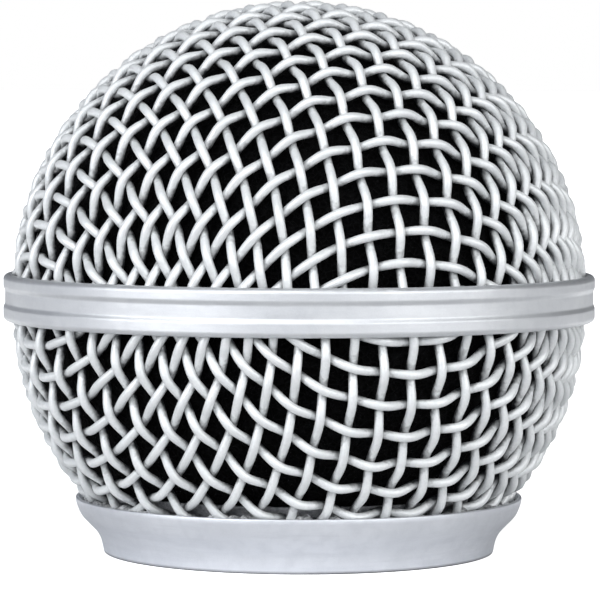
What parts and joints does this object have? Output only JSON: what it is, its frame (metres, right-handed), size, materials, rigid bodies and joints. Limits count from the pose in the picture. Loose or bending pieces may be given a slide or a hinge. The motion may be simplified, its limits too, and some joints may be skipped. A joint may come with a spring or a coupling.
{
  "type": "microphone ball grille",
  "caption": "Ball grille of a hand-held dynamic microphone: woven-wire dome and bowl in a grooved centre band, foam lining and a flared, threaded base collar.",
  "frame": {"origin": "centre of the base collar's bottom face, on the grille's axis", "axes": "+Z from the collar up to the top of the dome; -Y faces the viewer of the reference view, +X is to the viewer's right"},
  "size_m": [0.051, 0.051, 0.0476],
  "materials": {
    "mesh_wire": "satin silver paint on steel wire",
    "band": "satin silver paint",
    "collar": "satin silver paint",
    "inner_steel": "plain steel, dulled by overspray",
    "solder": "rough solder under paint",
    "foam": "open-cell black foam"
  },
  "bodies": {
    "root": {"upper_mesh_warp_wires": "mesh_wire", "upper_mesh_weft_wires": "mesh_wire", "lower_mesh_warp_wires": "mesh_wire", "lower_mesh_weft_wires": "mesh_wire", "centre_band": "band", "upper_rim_ring": "inner_steel", "lower_rim_ring": "inner_steel", "upper_solder_bead": "solder", "lower_solder_bead": "solder", "base_collar": "collar", "neck_ring": "inner_steel", "neck_solder_bead": "solder", "upper_foam_liner": "foam", "lower_foam_liner": "foam"}
  },
  "joints": []
}
